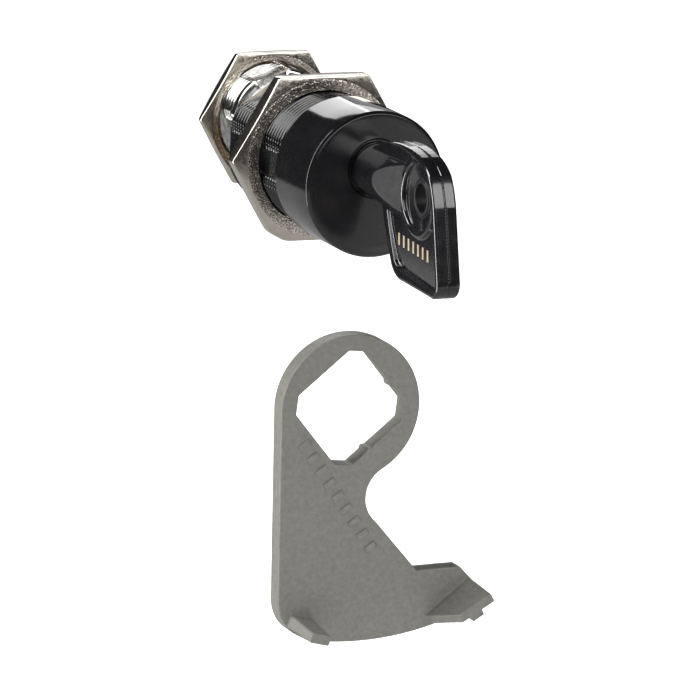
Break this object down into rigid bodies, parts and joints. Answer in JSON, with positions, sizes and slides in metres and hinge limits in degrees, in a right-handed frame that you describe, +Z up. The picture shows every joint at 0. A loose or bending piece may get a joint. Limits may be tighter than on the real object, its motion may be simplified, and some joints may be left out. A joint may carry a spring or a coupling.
{
  "type": "selector key switch",
  "caption": "Key-operated lock cylinder with round black head, threaded barrel, two hexagon nuts, four-flat driven tail, key, and a loose grey locking lever.",
  "frame": {"origin": "on the axis of the threaded barrel, in the plane of the shoulder that seats on the panel", "axes": "+Y along the barrel, from the head towards the tail; +Z up; +X to the right seen from the key side"},
  "size_m": [0.0587, 0.0824, 0.1036],
  "materials": {
    "black_anodised": "black finish with fine concentric turning marks",
    "black_gloss_plastic": "polished moulded plastic",
    "nickel_plate": "nickel plate over a slightly rough turned surface",
    "bright_steel": "drawn bright",
    "nickel_silver": "rolled and milled",
    "brass": "turned",
    "zinc_casting": "die cast",
    "seal_rubber": "moulded rubber",
    "grey_plastic": "glass-filled moulded plastic, matte"
  },
  "bodies": {
    "housing": {"barrel_housing": "black_anodised", "stator_body": "zinc_casting", "stator_pin": "bright_steel", "rear_bush": "brass", "face_seal_ring": "seal_rubber", "driver_pin_1": "brass", "driver_pin_2": "brass", "driver_pin_3": "brass", "driver_pin_4": "brass", "driver_pin_5": "brass", "pin_spring_1": "bright_steel", "pin_spring_2": "bright_steel", "pin_spring_3": "bright_steel", "pin_spring_4": "bright_steel", "pin_spring_5": "bright_steel"},
    "rotor": {"rotor_plug": "black_anodised", "rotor_stop_pin": "bright_steel", "tail_spindle": "nickel_plate", "tail_screw": "bright_steel", "thrust_washer": "bright_steel", "retaining_collar": "bright_steel"},
    "key": {"key_blade": "nickel_silver", "key_bow": "black_gloss_plastic"},
    "key_pins": {"key_pin_1": "brass", "key_pin_2": "brass", "key_pin_3": "brass", "key_pin_4": "brass", "key_pin_5": "brass"},
    "front_nut": {"front_nut": "nickel_plate"},
    "rear_nut": {"rear_nut": "nickel_plate"},
    "lever": {"locking_lever": "grey_plastic"}
  },
  "joints": [
    {"name": "key_turn", "type": "hinge", "parent": "housing", "child": "rotor", "pos_m": [0, 0, 0.0026], "axis": [0, 1, 0], "range_deg": [0, 90]},
    {"name": "key_withdraw", "type": "slide", "parent": "rotor", "child": "key", "axis": [0, -1, 0], "range_m": [0, 0.03]},
    {"name": "key_pin_rise", "type": "slide", "parent": "rotor", "child": "key_pins", "axis": [0, 0, 1], "range_m": [0, 0.0015]},
    {"name": "front_nut_travel", "type": "slide", "parent": "housing", "child": "front_nut", "axis": [0, 1, 0], "range_m": [-0.007, 0.0115]},
    {"name": "rear_nut_travel", "type": "slide", "parent": "rotor", "child": "rear_nut", "axis": [0, 1, 0], "range_m": [-0.0035, 0.0022]},
    {"name": "lever_lift", "type": "slide", "parent": "housing", "child": "lever", "axis": [-0.331, 0, 0.9436], "range_m": [0, 0.05468]}
  ],
  "couplings": [
    {"joint": "key_pin_rise", "follows": "key_withdraw", "ratio": 0.05}
  ]
}
